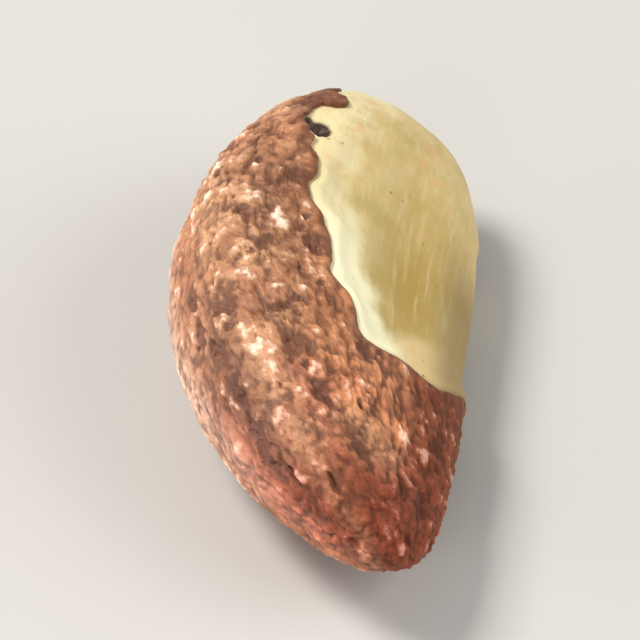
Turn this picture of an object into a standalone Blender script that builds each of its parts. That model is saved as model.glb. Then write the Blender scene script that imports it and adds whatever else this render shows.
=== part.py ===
"""A shelled brazil nut, lying on one of its flat sides.

Such a nut grows as one of a ring of seeds packed in a round husk. That makes it a crescent with a
rounded three-sided section: a ridge along the top, and a back edge and an inner edge low down.
Its thin brown skin is bonded to the pale kernel. Here it has rubbed off the two flat sides and the
inner edge over the broad half, with a ragged rim, and one flake of it is left near the broad end.

+X runs from the narrow end to the broad end, +Y to the rounded back, and +Z up. The origin is
under the middle of the nut, on the surface that it lies on. Lengths are in millimetres until the
mesh is finished.
"""
import math

import bmesh
import bpy
from mathutils import Vector, noise

METRES_PER_MM = 0.001

# The kernel. An angle runs round the nut from +Y upwards, and a place along it from -1 to 1.
LENGTH = 35.4
WIDTH = 15.0
HEIGHT = 13.6
RIDGE_ANGLE = math.radians(90)
INNER_ANGLE = math.radians(210)
EDGE_SWELL = 0.10
RIDGE_LEAN = 0.334
BROAD_WIDER = 0.25
BROAD_TALLER = 0.145
END_FULLNESS = -0.01
CRESCENT = 4.1
SIDE_STEP = 0.5
TIP_HOOK = -0.3
HOLLOW_DEPTH = 0.45
HOLLOW_PLACE = 0.12
HOLLOW_SPREAD = 0.42
FLAT_DEPTH = 0.40

# The skin. The ripples of its edge have a size, a pitch in radians per millimetre and a phase.
SKIN = 0.32
LUMP_HEIGHT = 0.30
RIM_FADE = 1.2
CAP_EDGE = -0.30
TONGUE_REACH = 0.18
TONGUE_WIDTH = 0.45
SIDE_EDGE = (-0.13, -0.62, 0.50)
CORNER_ROUNDING = 1.6
FLAKE_PLACE = (0.66, 236)
FLAKE_SIZE = 1.7
WAVES = (
    (0.30, (0.95, 0.60, 1.10), 0.4),
    (0.20, (2.10, -1.60, 1.90), 2.1),
    (0.10, (3.90, 2.70, -3.30), 5.0),
)
LUMP_PITCH = (0.30, 0.55, 0.55)

# How finely the surface is divided
CUTS_ALONG = 32
CUTS_ROUND = 26
PROBE = 0.004
CUT_MARGIN = 0.12
SHARP_ANGLE = math.radians(40)


def direction(along, angle):
    """The unit direction of a place along the nut and an angle round it."""
    reach = math.sqrt(1 - along * along)
    return Vector((along, reach * math.cos(angle), reach * math.sin(angle)))


def kernel(unit):
    """The point of the kernel's surface that lies in a unit direction."""
    along, side, up = unit
    angle = math.atan2(up, side)
    reach = math.hypot(side, up) * (1 + EDGE_SWELL * math.cos(3 * (angle - RIDGE_ANGLE)))
    reach -= hollow(along, angle) * 2 / WIDTH
    fullness = 1 + END_FULLNESS * along**2
    across = WIDTH / 2 * reach * math.cos(angle) * (fullness + BROAD_WIDER * along)
    rise = HEIGHT / 2 * reach * math.sin(angle) * (fullness + BROAD_TALLER * along)
    bend = SIDE_STEP * along - CRESCENT * along**2 + TIP_HOOK * along**3
    return Vector((LENGTH / 2 * along, across + RIDGE_LEAN * rise + bend, rise))


def hollow(along, angle):
    """How deep the bare side between the ridge and the inner edge is dished."""
    middle = (RIDGE_ANGLE + INNER_ANGLE) / 2
    lengthwise = (along - HOLLOW_PLACE) / HOLLOW_SPREAD
    turn = math.remainder(angle - middle, 2 * math.pi) / HOLLOW_SPREAD
    return HOLLOW_DEPTH * math.exp(-lengthwise**2 - turn**2)


def outward(unit):
    """The surface's normal, from two short steps across it."""
    step = unit.orthogonal().normalized() * PROBE
    turn = unit.cross(step)
    here = kernel(unit)
    first = kernel((unit + step).normalized()) - here
    second = kernel((unit + turn).normalized()) - here
    return first.cross(second).normalized()


def ripple(point):
    """How far the skin's ragged edge wanders to either side at a point."""
    return sum(size * math.sin(Vector(pitch).dot(point) + phase) for size, pitch, phase in WAVES)


def skin_cover(unit):
    """Millimetres in from the skin's edge: positive on the skin, negative on bare kernel."""
    along, side, up = unit
    inner = side * math.cos(INNER_ANGLE) + up * math.sin(INNER_ANGLE)
    sideways = up * math.cos(INNER_ANGLE) - side * math.sin(INNER_ANGLE)
    base, slope, curve = SIDE_EDGE
    back = (base + slope * along + curve * along**2 - inner) * WIDTH / 2
    tongue = TONGUE_REACH * math.exp(-((sideways / TONGUE_WIDTH) ** 2))
    cap = (CAP_EDGE + tongue - along) * LENGTH / 2
    blend = max(0.0, CORNER_ROUNDING - abs(back - cap)) ** 2 / (4 * CORNER_ROUNDING)
    place, degrees = FLAKE_PLACE
    flake_middle = kernel(direction(place, math.radians(degrees)))
    point = kernel(unit)
    flake = FLAKE_SIZE - (point - flake_middle).length
    return max(max(back, cap) + blend, flake) + ripple(point)


def cut_across(mesh, place, normal, **options):
    """Cuts every face that a plane crosses, and returns the edges of the cut."""
    everything = mesh.verts[:] + mesh.edges[:] + mesh.faces[:]
    cut = bmesh.ops.bisect_plane(mesh, geom=everything, plane_co=place, plane_no=normal, **options)
    return [item for item in cut["geom_cut"] if isinstance(item, bmesh.types.BMEdge)]


def divided_ball():
    """A unit ball from a cube's faces, with near-even cells along the nut and round it."""
    mesh = bmesh.new()
    bmesh.ops.create_cube(mesh, size=2)
    for axis, cuts in enumerate((CUTS_ALONG, CUTS_ROUND, CUTS_ROUND)):
        normal = Vector((0, 0, 0))
        normal[axis] = 1
        for number in range(1, cuts):
            share = math.tan((2 * number / cuts - 1) * math.pi / 4)
            cut_across(mesh, normal * share, normal)
    for vertex in mesh.verts:
        vertex.co.normalize()
    return mesh


def cut_skin_edge(mesh):
    """Cuts the ball's faces along the skin's edge, and returns the faces that the skin covers."""
    cover = {vertex: skin_cover(vertex.co) for vertex in mesh.verts}
    rim = []
    for edge in mesh.edges[:]:
        start, end = edge.verts
        if (cover[start] > 0) == (cover[end] > 0):
            continue
        share = cover[start] / (cover[start] - cover[end])
        share = min(max(share, CUT_MARGIN), 1 - CUT_MARGIN)
        middle = bmesh.utils.edge_split(edge, start, share)[1]
        middle.co.normalize()
        cover[middle] = 0
        rim.append(middle)
    bmesh.ops.connect_verts(mesh, verts=rim)
    return [face for face in mesh.faces if sum(cover[vertex] for vertex in face.verts) > 0]


def raise_skin(mesh, covered):
    """Gives the covered faces the skin's thickness, and shapes kernel and skin from the ball."""
    raised = bmesh.ops.extrude_face_region(mesh, geom=covered)["geom"]
    bmesh.ops.delete(mesh, geom=covered, context="FACES")
    top = {item for item in raised if isinstance(item, bmesh.types.BMVert)}
    for face in mesh.faces:
        face.material_index = 1 if any(vertex in top for vertex in face.verts) else 0
    places = {}
    for vertex in mesh.verts:
        unit = vertex.co.copy()
        places[vertex] = kernel(unit)
        if vertex in top:
            inland = min(max(skin_cover(unit) / RIM_FADE, 0.0), 1.0)
            lump = noise.noise(places[vertex] * Vector(LUMP_PITCH))
            places[vertex] += outward(unit) * (SKIN + LUMP_HEIGHT * inland * lump)
    for vertex, place in places.items():
        vertex.co = place


def rest_on_floor(mesh):
    """Flattens the lowest spot, and puts the origin under the middle of the nut."""
    lowest = min(vertex.co.z for vertex in mesh.verts)
    floor = Vector((0, 0, lowest + FLAT_DEPTH))
    bmesh.ops.holes_fill(mesh, edges=cut_across(mesh, floor, (0, 0, 1), clear_inner=True))
    places = [vertex.co for vertex in mesh.verts]
    middle_x = (min(place.x for place in places) + max(place.x for place in places)) / 2
    middle_y = (min(place.y for place in places) + max(place.y for place in places)) / 2
    bmesh.ops.translate(mesh, verts=mesh.verts, vec=-Vector((middle_x, middle_y, floor.z)))
    bmesh.ops.scale(mesh, verts=mesh.verts, vec=(METRES_PER_MM,) * 3)


def material(name, colour, roughness):
    made = bpy.data.materials.new(name)
    made.use_nodes = True
    shader = made.node_tree.nodes["Principled BSDF"]
    shader.inputs["Base Color"].default_value = (*colour, 1)
    shader.inputs["Roughness"].default_value = roughness
    shader.inputs["Metallic"].default_value = 0
    return made


for leftover in list(bpy.data.objects):
    bpy.data.objects.remove(leftover)

nut_mesh = divided_ball()
raise_skin(nut_mesh, cut_skin_edge(nut_mesh))
rest_on_floor(nut_mesh)
bmesh.ops.recalc_face_normals(nut_mesh, faces=nut_mesh.faces)
data = bpy.data.meshes.new("brazil_nut")
nut_mesh.to_mesh(data)
nut_mesh.free()
data.materials.append(material("bare_kernel", (0.62, 0.50, 0.24), 0.45))
data.materials.append(material("brown_skin", (0.32, 0.14, 0.075), 0.65))
data.shade_smooth()
data.set_sharp_from_angle(angle=SHARP_ANGLE)

nut = bpy.data.objects.new("brazil_nut", data)
collection = bpy.data.collections.new("brazil_nut")
bpy.context.scene.collection.children.link(collection)
collection.objects.link(nut)
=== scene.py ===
import math

import bmesh
import bpy
import numpy as np
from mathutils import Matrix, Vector


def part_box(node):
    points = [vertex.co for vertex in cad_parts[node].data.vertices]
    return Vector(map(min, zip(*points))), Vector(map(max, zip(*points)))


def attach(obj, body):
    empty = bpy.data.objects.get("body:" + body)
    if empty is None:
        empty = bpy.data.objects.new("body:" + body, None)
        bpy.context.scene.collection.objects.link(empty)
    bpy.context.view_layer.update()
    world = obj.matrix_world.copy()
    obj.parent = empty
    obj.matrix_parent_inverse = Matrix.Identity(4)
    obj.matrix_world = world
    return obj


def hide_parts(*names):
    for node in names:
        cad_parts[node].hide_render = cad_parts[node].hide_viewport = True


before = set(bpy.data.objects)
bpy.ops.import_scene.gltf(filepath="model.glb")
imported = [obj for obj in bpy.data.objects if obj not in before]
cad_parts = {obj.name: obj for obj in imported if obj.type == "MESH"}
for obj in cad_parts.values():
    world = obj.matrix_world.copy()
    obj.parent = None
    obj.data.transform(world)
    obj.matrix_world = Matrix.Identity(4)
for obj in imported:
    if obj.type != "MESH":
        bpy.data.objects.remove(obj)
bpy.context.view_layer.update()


# The kernel: one solid oily seed with cream-white flesh. It grew in a ring of others in a round
# husk, which pressed it into a crescent with three blunt lengthwise edges. It lies on a flat side.
class Wire:
    """A node's output. Arithmetic on it adds Math nodes, or Vector Math nodes where it is a vector."""

    def __init__(self, bench, socket):
        self.bench = bench
        self.socket = socket

    def __add__(self, other):
        return self.bench.maths("ADD", self, other)

    def __sub__(self, other):
        return self.bench.maths("SUBTRACT", self, other)

    def __rsub__(self, other):
        return self.bench.maths("SUBTRACT", other, self)

    def __mul__(self, other):
        return self.bench.maths("MULTIPLY", self, other)

    def __truediv__(self, other):
        return self.bench.maths("DIVIDE", self, other)

    def __rtruediv__(self, other):
        return self.bench.maths("DIVIDE", other, self)

    def __pow__(self, other):
        return self.bench.maths("POWER", self, other)

    def __rpow__(self, other):
        return self.bench.maths("POWER", other, self)

    def __neg__(self):
        return self * -1

    __radd__ = __add__
    __rmul__ = __mul__

    def at_least(self, other):
        return self.bench.maths("MAXIMUM", self, other)

    def at_most(self, other):
        return self.bench.maths("MINIMUM", self, other)

    def bell(self):
        """1 where this is 0, falling to 0 on both sides."""
        return self.bench.maths("EXPONENT", -(self**2))

    def ease(self, start, end):
        """0 up to start and 1 past end, with a smooth climb between."""
        settings = {"interpolation_type": "SMOOTHSTEP"}
        return self.bench.node("ShaderNodeMapRange", settings, {0: self, 1: start, 2: end})


class Bench:
    """A node tree that is being wired up."""

    def __init__(self, tree):
        self.tree = tree

    def node(self, kind, settings=(), values=(), out=0):
        """Adds a node, gives it its settings and then its sockets' numbers or wires."""
        made = self.tree.nodes.new(kind)
        for name, value in dict(settings).items():
            setattr(made, name, value)
        for key, value in dict(values).items():
            if isinstance(value, Wire):
                self.tree.links.new(value.socket, made.inputs[key])
            else:
                made.inputs[key].default_value = value
        return Wire(self, made.outputs[out]) if made.outputs else None

    def maths(self, operation, *values):
        sockets = [value.socket for value in values if isinstance(value, Wire)]
        wide = any(socket.type in ("VECTOR", "RGBA") for socket in sockets)
        if not wide:
            return self.node("ShaderNodeMath", {"operation": operation}, enumerate(values))
        values = [(value,) * 3 if isinstance(value, (int, float)) else value for value in values]
        out = 1 if operation in ("DISTANCE", "DOT_PRODUCT") else 0
        return self.node("ShaderNodeVectorMath", {"operation": operation}, enumerate(values), out)

    def parts(self, vector):
        """A vector's or a colour's three parts."""
        split = self.node("ShaderNodeSeparateXYZ", (), {0: vector}).socket.node
        return [Wire(self, socket) for socket in split.outputs]

    def joined(self, x, y, z):
        return self.node("ShaderNodeCombineXYZ", (), {0: x, 1: y, 2: z})

    def placed(self, ball):
        """The place along the nut, -1 at its narrow end and 1 at its broad one, and the angle round it.

        The angle is in radians: 0 at the rounded back, 1.6 on the ridge and 3.7 at the inner edge. It
        jumps only underneath, where it goes from 4.7 back to -1.6.
        """
        along, side, up = self.parts(ball)
        angle = self.maths("ARCTAN2", up, side)
        return along, self.maths("WRAP", angle, math.pi * 1.5, -math.pi / 2)

    def noise(self, place, pitch, detail=2.0, rough=0.5, out=0):
        """Smooth noise from 0 to 1 with lumps about 1 / pitch apart; out 1 is three of them."""
        values = {"Vector": place, "Scale": pitch, "Detail": detail, "Roughness": rough}
        return self.node("ShaderNodeTexNoise", {"noise_dimensions": "3D"}, values, out)

    def strayed(self, place, pitch, reach):
        """A place moved a little at random, so that what is laid out on it looks grown."""
        return place + (self.noise(place, pitch, out=1) - 0.5) * reach

    def cells(self, place, pitch, softness=0.0):
        """Distances to the middles of cells 1 / pitch wide, and one random number for each cell."""
        if softness:
            settings = {"feature": "SMOOTH_F1"}
            values = {"Vector": place, "Scale": pitch, "Smoothness": softness}
        else:
            settings = {"feature": "F1"}
            values = {"Vector": place, "Scale": pitch}
        distance = self.node("ShaderNodeTexVoronoi", settings, values)
        colour = Wire(self, distance.socket.node.outputs[1])
        return distance, self.parts(colour)[0]


def soft_spot(along, angle, middle, spread):
    """1 at a middle along and round the nut, falling to 0 over the spread each way."""
    return ((along - middle[0]) / spread[0]).bell() * ((angle - middle[1]) / spread[1]).bell()


def paint(red, green, blue):
    """A colour of 0 to 255, as it looks in daylight, in the shaders' own numbers."""
    tones = [tone / 255 for tone in (red, green, blue)]
    tones = [tone / 12.92 if tone < 0.04045 else ((tone + 0.055) / 1.055) ** 2.4 for tone in tones]
    return (*tones, 1)


class FinishBench(Bench):
    """A material's tree, with its Principled shader at hand."""

    def __init__(self, name):
        self.material = bpy.data.materials.new(name)
        self.material.use_nodes = True
        super().__init__(self.material.node_tree)
        self.shader = self.tree.nodes["Principled BSDF"]

    def read(self, name, out=2):
        """An attribute of the piece: out 2 is a number, and 1 a vector."""
        return self.node("ShaderNodeAttribute", {"attribute_name": name}, (), out)

    def blend(self, share, first, second):
        """The first colour where share is 0, and the second where it is 1."""
        settings = {"data_type": "RGBA", "clamp_factor": True}
        return self.node("ShaderNodeMix", settings, {0: share, 6: first, 7: second}, 2)

    def layered(self, tone, *layers):
        """A first colour with others laid over it in turn, each with its share from 0 to 1."""
        for share, colour in layers:
            tone = self.blend(share, tone, colour)
        return tone

    def feed(self, values):
        for name, value in values.items():
            if isinstance(value, Wire):
                self.tree.links.new(value.socket, self.shader.inputs[name])
            else:
                self.shader.inputs[name].default_value = value

    def bump(self, height, depth):
        """A normal from a height of 0 to 1 that is worth a depth in metres."""
        return self.node("ShaderNodeBump", (), {"Strength": 1.0, "Distance": depth, "Height": height})


class FormBench(Bench):
    """A geometry tree with named inputs, which grows a piece's mesh."""

    def __init__(self, name, sizes):
        tree = bpy.data.node_groups.new(name, "GeometryNodeTree")
        tree.interface.new_socket("Geometry", in_out="INPUT", socket_type="NodeSocketGeometry")
        tree.interface.new_socket("Geometry", in_out="OUTPUT", socket_type="NodeSocketGeometry")
        for label, size in sizes.items():
            kind = "NodeSocketInt" if isinstance(size, int) else "NodeSocketFloat"
            tree.interface.new_socket(label, in_out="INPUT", socket_type=kind)
        super().__init__(tree)
        self.sizes = sizes
        entry = self.node("NodeGroupInput").socket.node
        self.entry = {socket.name: Wire(self, socket) for socket in entry.outputs}

    def store(self, geometry, name, value, kind="FLOAT"):
        settings = {"data_type": kind, "domain": "POINT"}
        values = {"Geometry": geometry, "Name": name, "Value": value}
        return self.node("GeometryNodeStoreNamedAttribute", settings, values)

    def read(self, name, kind="FLOAT"):
        return self.node("GeometryNodeInputNamedAttribute", {"data_type": kind}, {"Name": name})

    def grow(self, piece, geometry, finish, where=True):
        """Ends the tree in real faces with a finish, and leaves them as the piece's plain mesh."""
        real = self.node("GeometryNodeRealizeInstances", (), {"Geometry": geometry})
        values = {"Geometry": real, "Selection": where, "Material": finish}
        finished = self.node("GeometryNodeSetMaterial", (), values)
        self.node("NodeGroupOutput", (), {0: finished})
        modifier = piece.modifiers.new(self.tree.name, "NODES")
        modifier.node_group = self.tree
        for item in self.tree.interface.items_tree:
            if item.in_out == "INPUT" and item.name in self.sizes:
                modifier[item.identifier] = self.sizes[item.name]
        graph = bpy.context.evaluated_depsgraph_get()
        whole = piece.evaluated_get(graph)
        mesh = bpy.data.meshes.new_from_object(whole, preserve_all_data_layers=True, depsgraph=graph)
        piece.modifiers.remove(modifier)
        piece.data = mesh
        # A mesh that starts without a finish keeps an empty first slot for it.
        if mesh.materials[0] is None:
            mesh.materials.pop(index=0)


# The flesh is paler beside the skin, where it was bared last, with a painted highlight along that lip,
# and yellower in the hollow of its side, with painted shade in the dish there. It has fine lengthwise
# streaks, tiny brown specks, a faint pink blush and one dark scar. Painted shade also darkens its inner
# edge, the foot of the torn skin and the scar's pit.
streak_depth = 0.00005
hollow_tint_and_shade_spot = ((0.06, math.radians(160)), (0.34, 0.34))
flesh = FinishBench("bare_kernel")
place = flesh.read("straight", 1)
along, angle = flesh.placed(flesh.read("ball", 1))
bare = -flesh.read("cover")
mottle = flesh.noise(place, 0.35, 3.0, 0.55)
streaks = flesh.noise(place * (0.12, 1.0, 1.0), 2.6, 3.0, 0.6)
grain = flesh.noise(place, 6.0, 3.0, 0.6)
# The hollow of the bare side is darker and yellower: partly the flesh's own olive tint, partly painted shade
# in the dish.
hollow_tint_and_shade = soft_spot(along, angle, *hollow_tint_and_shade_spot)
wide_lip = ((along + 0.1) / 0.3).bell()
# The band of flesh beside the torn skin is painted near white: partly the flesh's own paler tone, partly a
# painted highlight along the rolled lip, dimmer towards the inner edge.
pale_lip_and_highlight = (bare + (mottle - 0.5) * 3 - wide_lip * 0.8).ease(2.8, 1.0) * (0.4 + 0.6 * along.ease(0.3, -0.05))
lip_cream_and_highlight = flesh.blend(angle.ease(2.5, 2.85), paint(255, 248, 206), paint(222, 194, 136))
# Painted shade: the flesh darkens towards the inner edge of the broad half, where it turns away from the
# light.
inner_edge_shade = angle.ease(2.9, 3.3) * along.ease(0.5, 0.2)
speck_gap, speck_kind = flesh.cells(place, 0.9)
specks = speck_gap.ease(0.16, 0.05) * speck_kind.ease(0.62, 0.7)
blush = flesh.noise(place, 0.8, 3.0, 0.6).ease(0.54, 0.72) * along.ease(0.15, 0.5)
# A thin brown line on the flesh at the foot of the torn skin: partly the skin's brown edge, partly painted
# shade under the step.
tear_line_and_shade = bare.ease(0.14, 0.0) * (0.2 + 0.5 * angle.ease(2.4, 2.8))
# The scar is painted near black: partly a dark mark, partly painted shade in its pit.
scar = flesh.read("scar").ease(0.2, 0.42)
tone = flesh.layered(
    paint(212, 188, 128),
    (mottle.ease(0.35, 0.7), paint(194, 170, 102)),
    (hollow_tint_and_shade * 0.9, paint(172, 140, 62)),
    (streaks.ease(0.45, 0.75) * 0.3, paint(236, 222, 172)),
    (pale_lip_and_highlight, lip_cream_and_highlight),
    (inner_edge_shade * 0.75, paint(132, 108, 56)),
    (specks * 0.65, paint(150, 96, 58)),
    (blush * 0.5, paint(222, 170, 126)),
    (tear_line_and_shade, paint(150, 98, 62)),
    (scar, paint(58, 28, 14)),
)
flesh.feed(
    {
        "Base Color": tone,
        "Roughness": 0.46 + grain * 0.16,
        "Normal": flesh.bump(streaks * 0.6 + grain * 0.4, streak_depth),
        "Subsurface Weight": 0.2,
        "Subsurface Scale": 0.0008,
        "Subsurface Radius": (1.0, 0.75, 0.4),
    }
)

# A ball of even cells is shaped by formula, in millimetres, with the narrow end towards -X, the rounded
# back towards +Y and the ridge on top.
nut_length = 35.4
nut_width = 15.0
nut_height = 13.6
ridge_angle = math.radians(90)
inner_angle = math.radians(210)
form = FormBench(
    "kernel_form",
    {
        "Length": nut_length,
        "Width": nut_width,
        "Height": nut_height,
        "Edge Swell": 0.10,
        "Ridge Lean": 0.334,
        "Broad Wider": 0.25,
        "Broad Taller": 0.145,
        "End Fullness": -0.01,
        "Crescent": 4.1,
        "Side Step": 0.5,
        "Tip Hook": -0.3,
        "Hollow Depth": 0.45,
        "Hollow Place": 0.12,
        "Hollow Spread": 0.42,
        "Cells Along": 148,
        "Cells Round": 108,
    },
)
size = form.entry
points_along = size["Cells Along"] + 1
points_round = size["Cells Round"] + 1
counts = {"Vertices X": points_along, "Vertices Y": points_round, "Vertices Z": points_round}
ball = form.node("GeometryNodeMeshCube", (), {"Size": (2, 2, 2), **counts})
cell = form.node("GeometryNodeInputPosition")
unit = form.maths("NORMALIZE", form.maths("TANGENT", cell * (math.pi / 4)))
along, angle = form.placed(unit)
reach = form.maths("SQRT", 1 - along**2)
reach = reach * (1 + size["Edge Swell"] * form.maths("COSINE", (angle - ridge_angle) * 3))
turn = form.maths("WRAP", angle - (ridge_angle + inner_angle) / 2, math.pi, -math.pi)
dish = ((along - size["Hollow Place"]) / size["Hollow Spread"]).bell() * (turn / size["Hollow Spread"]).bell()
reach = reach - size["Hollow Depth"] * dish * 2 / size["Width"]
fullness = 1 + size["End Fullness"] * along**2
wide = size["Width"] / 2 * (fullness + size["Broad Wider"] * along)
tall = size["Height"] / 2 * (fullness + size["Broad Taller"] * along)
across = wide * reach * form.maths("COSINE", angle)
rise = tall * reach * form.maths("SINE", angle)
bend = size["Side Step"] * along - size["Crescent"] * along**2 + size["Tip Hook"] * along**3
straight = form.joined(size["Length"] / 2 * along, across + size["Ridge Lean"] * rise, rise)
bent = straight + form.joined(0, bend, 0)
grown = form.store(ball, "straight", straight, "FLOAT_VECTOR")
grown = form.store(grown, "ball", unit, "FLOAT_VECTOR")
grown = form.node("GeometryNodeSetPosition", (), {"Geometry": grown, "Position": bent})
grown = form.store(grown, "outward", form.node("GeometryNodeInputNormal"), "FLOAT_VECTOR")
nut = bpy.data.objects.new("brazil_nut_visible", bpy.data.meshes.new("nut"))
bpy.context.scene.collection.objects.link(nut)
form.grow(nut, grown, flesh.material)


# The skin: the seed's thin dry brown coat, bonded to the kernel. Cracking and tumbling have rubbed it
# off the flat sides and the inner edge of the broad half, along a torn line with a bite and a flap.
# The line has ripples, each with its reach, its radians per millimetre along X, Y and Z, and a phase.
edge_waves = (
    (0.30, (0.95, 0.60, 1.10), 0.4),
    (0.12, (2.10, -1.60, 1.90), 2.1),
    (0.04, (3.90, 2.70, -3.30), 5.0),
)
flake_place = (11.7, -6.9, -4.7)
bite_place = (9.8, -0.05, 6.5)
flap_place = (12.9, -0.6, 5.6)
skin_edge = FormBench(
    "skin_edge",
    {
        "Width": nut_width,
        "Length": nut_length,
        "Side Edge": -0.13,
        "Side Slope": -0.62,
        "Side Curve": 0.50,
        "Cap Edge": -0.30,
        "Tongue": 0.18,
        "Tongue Width": 0.45,
        "Corner": 1.6,
        "Flake Size": 1.7,
        "Bite Size": 0.9,
        "Flap Size": 0.95,
        "Tatter Pitch": 1.1,
        "Tatter Depth": 0.3,
    },
)
size = skin_edge.entry
surface = skin_edge.node("GeometryNodeInputPosition")
along, angle = skin_edge.placed(skin_edge.read("ball", "FLOAT_VECTOR"))
turn = angle - inner_angle
reach = skin_edge.maths("SQRT", 1 - along**2)
inner = reach * skin_edge.maths("COSINE", turn)
sideways = reach * skin_edge.maths("SINE", turn)
back = size["Side Edge"] + size["Side Slope"] * along + size["Side Curve"] * along**2
back = (back - inner) * size["Width"] / 2
tongue = size["Tongue"] * (sideways / size["Tongue Width"]).bell()
cap = (size["Cap Edge"] + tongue - along) * size["Length"] / 2
near = (size["Corner"] - skin_edge.maths("ABSOLUTE", back - cap)).at_least(0)
flake = size["Flake Size"] - skin_edge.maths("DISTANCE", surface, flake_place)
cover = (back.at_least(cap) + near**2 / (size["Corner"] * 4)).at_least(flake)
for wave, pitch, phase in edge_waves:
    cover = cover + wave * skin_edge.maths("SINE", skin_edge.maths("DOT_PRODUCT", surface, pitch) + phase)
cover = cover + (skin_edge.noise(surface, size["Tatter Pitch"], 3.0, 0.6) - 0.5) * size["Tatter Depth"]
ragged = skin_edge.strayed(surface, 0.8, 1.6)
bite_gap = skin_edge.maths("DISTANCE", ragged, bite_place)
flap_gap = skin_edge.maths("DISTANCE", ragged, flap_place)
cover = cover.at_most(bite_gap - size["Bite Size"]).at_least(size["Flap Size"] - flap_gap)
marked = skin_edge.store(size["Geometry"], "cover", cover)
marked = skin_edge.store(marked, "scar", (bite_gap / (size["Bite Size"] * 0.9)).bell())
skin_edge.grow(nut, marked, flesh.material)

# The covered faces are cut out along the torn line and lifted, so that the edge is a real step with a
# crease along its foot.
cut_margin = 0.08
mesh = bmesh.new()
mesh.from_mesh(nut.data)
cover_layer = mesh.verts.layers.float["cover"]
skin_layer = mesh.verts.layers.float.new("skin")
torn = []
for edge in mesh.edges[:]:
    start, end = edge.verts
    first, last = start[cover_layer], end[cover_layer]
    if (first > 0) != (last > 0):
        share = min(max(first / (first - last), cut_margin), 1 - cut_margin)
        middle = bmesh.utils.edge_split(edge, start, share)[1]
        middle[cover_layer] = 0
        torn.append(middle)
bmesh.ops.connect_verts(mesh, verts=torn)
covered = [face for face in mesh.faces if sum(vertex[cover_layer] for vertex in face.verts) > 0]
lifted = bmesh.ops.extrude_face_region(mesh, geom=covered)["geom"]
bmesh.ops.delete(mesh, geom=covered, context="FACES")
for item in lifted:
    if isinstance(item, bmesh.types.BMVert):
        item[skin_layer] = 1
for vertex in torn:
    for edge in vertex.link_edges:
        edge.smooth = not all(point[cover_layer] == 0 and point[skin_layer] == 0 for point in edge.verts)
mesh.to_mesh(nut.data)
mesh.free()

# The coat is reddish brown, darker at its ends and in its pits, and worn to a pale tan on its grains.
# Painted light is laid over it: shade in its pits, at its tip, on its underside and on its torn wall;
# light on its inner side; and highlights on its grain tops, along its ridge and on its back rim.
fleck_depth = 0.00014
wear_and_glint_angle = math.radians(74)
wear_and_glint_spread = 0.38
low_wear_spot = ((-0.71, 2.05), (0.1, 0.45))
dark_patch_spot = ((-0.58, 0.84), (0.3, 0.4))
coat = FinishBench("brown_skin")
place = coat.read("straight", 1)
along, angle = coat.placed(coat.read("ball", 1))
crest = coat.read("crest")
kind = coat.read("kind")
patches = coat.noise(place, 0.16, 3.0, 0.55)
blotch = coat.noise(place, 0.62, 3.0, 0.6)
fleck = coat.noise(place, 2.4, 4.0, 0.65)
grain = coat.noise(place, 7.0, 3.0, 0.6)
cover = coat.read("cover")
# The rubbed band along the back rim is painted pale: partly wear, partly a painted rim highlight.
rubbed_back_and_rim_highlight = coat.read("worn_and_rim_highlight")
# A pale band along the ridge: partly worn grains, partly a painted highlight where the key lamp's glints
# fall.
ridge_wear_and_glint = ((angle - wear_and_glint_angle) / wear_and_glint_spread).bell() * patches.ease(0.3, 0.55)
wear_and_glint = ridge_wear_and_glint.at_least(soft_spot(along, angle, *low_wear_spot) * 0.8)
# The inner side of the skin is lighter and more orange: partly the coat's own warmer tone, partly painted
# light.
inner_side_tone_and_light = angle.ease(1.6, 2.1) * angle.ease(3.1, 2.7) * along.ease(-0.9, -0.6)
# A darker patch low on the back, over the dents there.
dark_patch = soft_spot(along, angle, *dark_patch_spot)
patch_border = cover.ease(5.0, 1.5) * along.ease(-0.6, -0.35) * along.ease(0.45, 0.25)
broad_border = cover.ease(1.5, 0.5) * along.ease(0.6, 0.7) * 1.6
# Darker, duller skin at the narrow tip and low on the inner edge: partly the coat's own darker brown, partly
# painted shade on the underside.
tip = along.ease(-0.66, -0.9) * angle.ease(0.2, 0.6)
under_side_shade = angle.ease(2.5, 3.0) * along.ease(0.0, -0.3)
dull_and_shade = (tip + under_side_shade).at_most(1)
broad_end = along.ease(0.35, 0.75) * (0.35 + 0.5 * angle.ease(0.4, 1.2))
narrow_end = along.ease(-0.3, -0.8) * (0.4 + 0.6 * angle.ease(-0.5, 0.2))
red_patches = patches.ease(0.5, 0.7) * (0.15 + 0.25 * angle.ease(0.4, 1.2))
ruddy = (broad_end + narrow_end + red_patches).at_most(1 - inner_side_tone_and_light * 0.6)
# Grain tops are painted pale: partly worn tan, partly painted highlights where glints fall on them.
pale_grains_and_glints = (crest + (fleck - 0.5) + (kind - 0.5) * 0.4).ease(0.5, 0.95) * (1 - dull_and_shade * 0.5)
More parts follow.
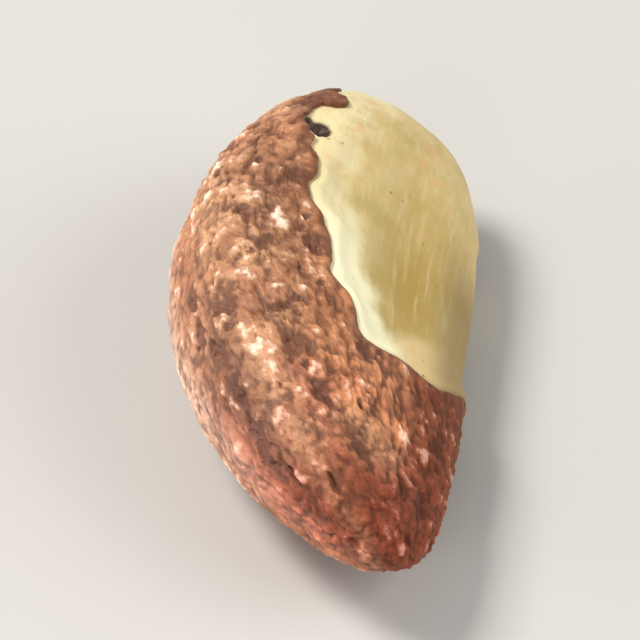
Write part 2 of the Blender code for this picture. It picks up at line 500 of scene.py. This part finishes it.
# The skin's torn wall is darker: partly its own darker inner face, partly painted shade along the step.
torn_side_tone_and_shade = coat.read("skin").ease(1.0, 0.6) * (0.4 + 0.4 * angle.ease(2.4, 2.8))
tone = coat.layered(
    paint(188, 129, 89),
    (inner_side_tone_and_light, paint(250, 168, 112)),
    (ruddy, paint(176, 87, 54)),
    (wear_and_glint * 0.75, paint(220, 172, 126)),
    (blotch.ease(0.5, 0.34) * 0.45, paint(130, 74, 38)),
    (dark_patch * 0.8, paint(110, 64, 38)),
    ((patch_border + broad_border) * 0.5, paint(124, 76, 46)),
    (rubbed_back_and_rim_highlight * 0.62, coat.blend(ruddy, paint(236, 194, 168), paint(234, 152, 120))),
    (dull_and_shade * 0.75, paint(126, 46, 8)),
    (kind.ease(0.4, 0.15) * 0.4, paint(122, 66, 32)),
    (fleck.ease(0.48, 0.3) * 0.4, paint(112, 60, 28)),
    # Where the relief is low, in pits, furrows and dents, the skin is darker: partly their own dark brown,
    # partly painted shade in them.
    (crest.ease(0.4, 0.04) * 0.78, paint(84, 40, 16)),
    (pale_grains_and_glints, coat.blend(ruddy, paint(252, 218, 192), paint(240, 174, 148))),
    (torn_side_tone_and_shade, paint(104, 58, 38)),
)
coat.feed(
    {
        "Base Color": tone,
        "Roughness": 0.62 + dull_and_shade * 0.2 - crest.ease(0.3, 0.9) * 0.26,
        "Normal": coat.bump(fleck * 0.6 + grain * 0.4, fleck_depth),
        "Coat Weight": (0.1 + rubbed_back_and_rim_highlight * 0.4) * (1 - dull_and_shade),
        "Coat Roughness": 0.28,
        "Sheen Weight": 0.16,
        "Sheen Roughness": 0.25,
        "Sheen Tint": (1.0, 0.88, 0.84, 1),
    }
)

# Its relief: lumps, close grains, fine lengthwise furrows, scattered pits, and the larger dents and
# knobs that this nut has beside its ridge, each with a place along it, degrees round it and a size.
dents = (
    (-0.51, 48, 0.8),
    (-0.35, 47, 0.6),
    (-0.65, 43, 0.6),
    (-0.73, 35, 0.5),
    (-0.45, 96, 0.6),
    (-0.32, 94, 0.4),
    (-0.03, 109, 0.4),
    (0.23, 100, 0.5),
    (-0.36, 130, 0.4),
    (-0.61, 100, 0.4),
    (-0.76, 112, 0.5),
    (-0.78, 48, 0.5),
    (-0.87, 80, 0.4),
    (-0.79, 152, 0.5),
    (-0.80, 176, 0.6),
    (-0.52, 182, 0.6),
    (-0.25, 38, 0.5),
    (-0.12, 42, 0.5),
    (-0.27, 66, 0.4),
    (-0.06, 88, 0.4),
    (0.09, 82, 0.4),
)
knobs = (
    (0.32, 58, 0.7),
    (-0.02, 72, 0.6),
    (0.14, 86, 0.5),
    (-0.18, 80, 0.6),
    (-0.43, 80, 0.7),
    (-0.51, 76, 0.7),
    (-0.67, 71, 0.5),
    (-0.60, 116, 0.7),
    (-0.59, 154, 0.5),
    (-0.84, 138, 0.5),
    (-0.77, 72, 0.5),
    (-0.60, 170, 0.5),
    (0.20, 74, 0.4),
    (0.04, 94, 0.4),
)
relief = FormBench(
    "skin_relief",
    {
        "Thickness": 0.32,
        "Lump Height": 0.40,
        "Grain Height": 0.24,
        "Rough Height": 0.22,
        "Furrow Depth": 0.10,
        "Pit Depth": 0.22,
        "Dent Depth": 0.30,
        "Knob Height": 0.16,
        "Half Length": nut_length / 2,
        "Girth Radius": 7.0,
        "Lip Width": 1.6,
        "Lip Roll": 0.12,
        "Lip Drop": 0.22,
        "Scar Depth": 0.7,
    },
)
size = relief.entry
cover = relief.read("cover")
skin = relief.read("skin")
along, angle = relief.placed(relief.read("ball", "FLOAT_VECTOR"))
place = relief.read("straight", "FLOAT_VECTOR")
grain_swell = (0.62, 0.1)
mark_stray = 2.2
back_edge_angle = 0.03
back_edge_spread = 0.28
strayed = relief.strayed(place, 0.9, 0.6)
lump = relief.noise(strayed * (0.6, 1.0, 1.0), 0.42, 1.0) - 0.5
furrow = relief.noise(strayed * (0.25, 1.0, 1.0), 0.85, 2.0, 0.45) - 0.5
furrow = relief.maths("ABSOLUTE", furrow).ease(0.08, 0.0)
big_gap, big_kind = relief.cells(strayed * (0.85, 1.0, 1.0), 0.9, 0.2)
small_gap = relief.cells(strayed, 1.9, 0.2)[0]
big_grain = big_gap.ease(*grain_swell) * (0.35 + 0.65 * big_kind)
grain = big_grain * 0.6 + small_gap.ease(*grain_swell) * 0.4
rough = relief.noise(place, 2.4, 2.0, 0.6) - 0.5
pit_gap, pit_kind = relief.cells(relief.strayed(place, 1.6, 1.0) * (0.75, 1.0, 1.0), 0.9)
pit = pit_gap.ease(0.36, 0.06) * pit_kind.ease(0.7, 0.8)
drift, sway = relief.parts(relief.noise(place, 1.1, out=1) - 0.5)[:2]
mark_along = along * size["Half Length"] + drift * mark_stray
mark_round = angle * size["Girth Radius"] + sway * mark_stray
marks = []
for spots in (dents, knobs):
    mark = 0.0
    for spot_place, degrees, spot_size in spots:
        middle = (size["Half Length"] * spot_place, size["Girth Radius"] * math.radians(degrees))
        mark = soft_spot(mark_along, mark_round, middle, (spot_size, spot_size)) + mark
    marks.append(mark.at_most(1))
dent, knob = marks
inland = cover.ease(0.0, 0.9)
# The rubbed band along the back edge: its relief is smoothed, and the coat paints it pale, partly as wear and
# partly as a painted rim highlight.
worn_and_rim_highlight = ((angle - back_edge_angle) / back_edge_spread).bell() * along.ease(-1.0, -0.6) * along.ease(0.7, 0.3)
smoothed = 1 - worn_and_rim_highlight * 0.6
skin_height = size["Thickness"] * (0.75 + 0.25 * cover.ease(0.0, 0.3)) + inland * (
    size["Lump Height"] * lump
    + size["Grain Height"] * (grain - 0.45) * smoothed
    + size["Rough Height"] * rough * smoothed
    + size["Knob Height"] * knob
    - size["Furrow Depth"] * furrow
    - size["Pit Depth"] * pit
    - size["Dent Depth"] * dent
)
bare = -cover / size["Lip Width"]
rolled = size["Lip Roll"] * ((bare - 0.35) * 3).bell() * along.ease(0.6, 0.2)
flesh_height = rolled - size["Lip Drop"] * bare.ease(0.3, 1.2) - size["Scar Depth"] * relief.read("scar")
flesh_height = flesh_height + relief.noise(place, 0.5, 2.0) * 0.08
height = skin * skin_height + (1 - skin) * flesh_height * (-cover).ease(0.0, 0.3)
crest = 0.2 + grain * 0.7 + rough * 0.5 + knob * 0.5 - furrow * 0.16 - pit * 0.7 - dent * 1.2
crest = crest * (0.4 + 0.6 * cover.ease(0.0, 0.5))
outward = relief.read("outward", "FLOAT_VECTOR")
shaped = relief.store(size["Geometry"], "crest", crest)
shaped = relief.store(shaped, "kind", big_kind)
shaped = relief.store(shaped, "worn_and_rim_highlight", worn_and_rim_highlight)
shaped = relief.node("GeometryNodeSetPosition", (), {"Geometry": shaped, "Offset": outward * height})
any_skin = 0.2
settings = {"data_type": "FLOAT", "operation": "GREATER_THAN"}
skin_faces = relief.node("FunctionNodeCompare", settings, {0: skin, 1: any_skin})
relief.grow(nut, shaped, coat.material, skin_faces)

# The nut lies in the middle of its box in the frame, with its ridge at the box's top, and is flat
# where it meets the floor.
metres_per_mm = 0.001
low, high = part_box("brazil_nut")
points = np.empty(len(nut.data.vertices) * 3, dtype=np.float32)
nut.data.vertices.foreach_get("co", points)
points = points.reshape(-1, 3) * metres_per_mm
middle = (points.min(axis=0) + points.max(axis=0)) / 2
points[:, 0] += (low.x + high.x) / 2 - middle[0]
points[:, 1] += (low.y + high.y) / 2 - middle[1]
points[:, 2] += high.z - points[:, 2].max()
points[:, 2] = np.maximum(points[:, 2], 0)
nut.data.vertices.foreach_set("co", points.ravel())
nut.data.update()
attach(nut, "root")
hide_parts("brazil_nut")


# The studio: a pale matt floor under one large soft lamp, behind the nut on its skin side, with
# weaker ones round it that fill its shadows and trace its rims. Each lamp has its place and width in
# metres, its watts and its colour.
floor_width = 4.0
floor_mesh = bmesh.new()
bmesh.ops.create_grid(floor_mesh, x_segments=1, y_segments=1, size=floor_width / 2)
floor = bpy.data.objects.new("floor", bpy.data.meshes.new("floor"))
floor_mesh.to_mesh(floor.data)
floor_mesh.free()
bpy.context.scene.collection.objects.link(floor)
plaster = FinishBench("pale_floor")
plaster.feed({"Base Color": paint(194, 192, 188), "Roughness": 0.8})
floor.data.materials.append(plaster.material)

lamps = {
    "key": ((0.10, 0.30, 0.46), 0.20, 2.9, (1.0, 0.97, 0.93)),
    "fill": ((-0.14, -0.43, 0.36), 0.40, 1.85, (1.0, 0.98, 0.94)),
    "front": ((-0.50, 0.16, 0.26), 0.30, 0.75, (1.0, 0.98, 0.96)),
    "side": ((-0.14, 0.48, 0.04), 0.24, 2.0, (1.0, 0.96, 0.96)),
    "rim": ((0.16, -0.46, 0.10), 0.24, 0.1, (1.0, 0.97, 0.94)),
}
for name, (spot, width, watts, colour) in lamps.items():
    lamp = bpy.data.lights.new(name, "AREA")
    lamp.size = width
    lamp.energy = watts
    lamp.color = colour
    holder = bpy.data.objects.new(name, lamp)
    holder.location = spot
    holder.rotation_euler = (-Vector(spot)).to_track_quat("-Z", "Y").to_euler()
    holder.visible_camera = False
    bpy.context.scene.collection.objects.link(holder)
sky_colour = (0.96, 0.98, 1.0, 1)
sky_strength = 0.28
world = bpy.data.worlds.new("studio")
world.use_nodes = True
sky = world.node_tree.nodes["Background"]
sky.inputs["Color"].default_value = sky_colour
sky.inputs["Strength"].default_value = sky_strength
bpy.context.scene.world = world
bpy.context.scene.view_settings.view_transform = "Standard"


# The camera looks down along the nut from its narrow end, from far off, as in the photograph.
azimuth = math.radians(-88)
elevation = math.radians(42)
distance = 0.6
frame_height = 0.0350
side_step = math.sin(azimuth) * math.cos(elevation)
back_step = -math.cos(azimuth) * math.cos(elevation)
away = Vector((side_step, back_step, math.sin(elevation)))
camera = bpy.data.objects.new("camera", bpy.data.cameras.new("camera"))
camera.data.lens = camera.data.sensor_width * distance / frame_height
camera.data.clip_end = 10
camera.location = (low + high) / 2 + away * distance
camera.rotation_euler = (-away).to_track_quat("-Z", "Y").to_euler()
bpy.context.scene.collection.objects.link(camera)
bpy.context.scene.camera = camera
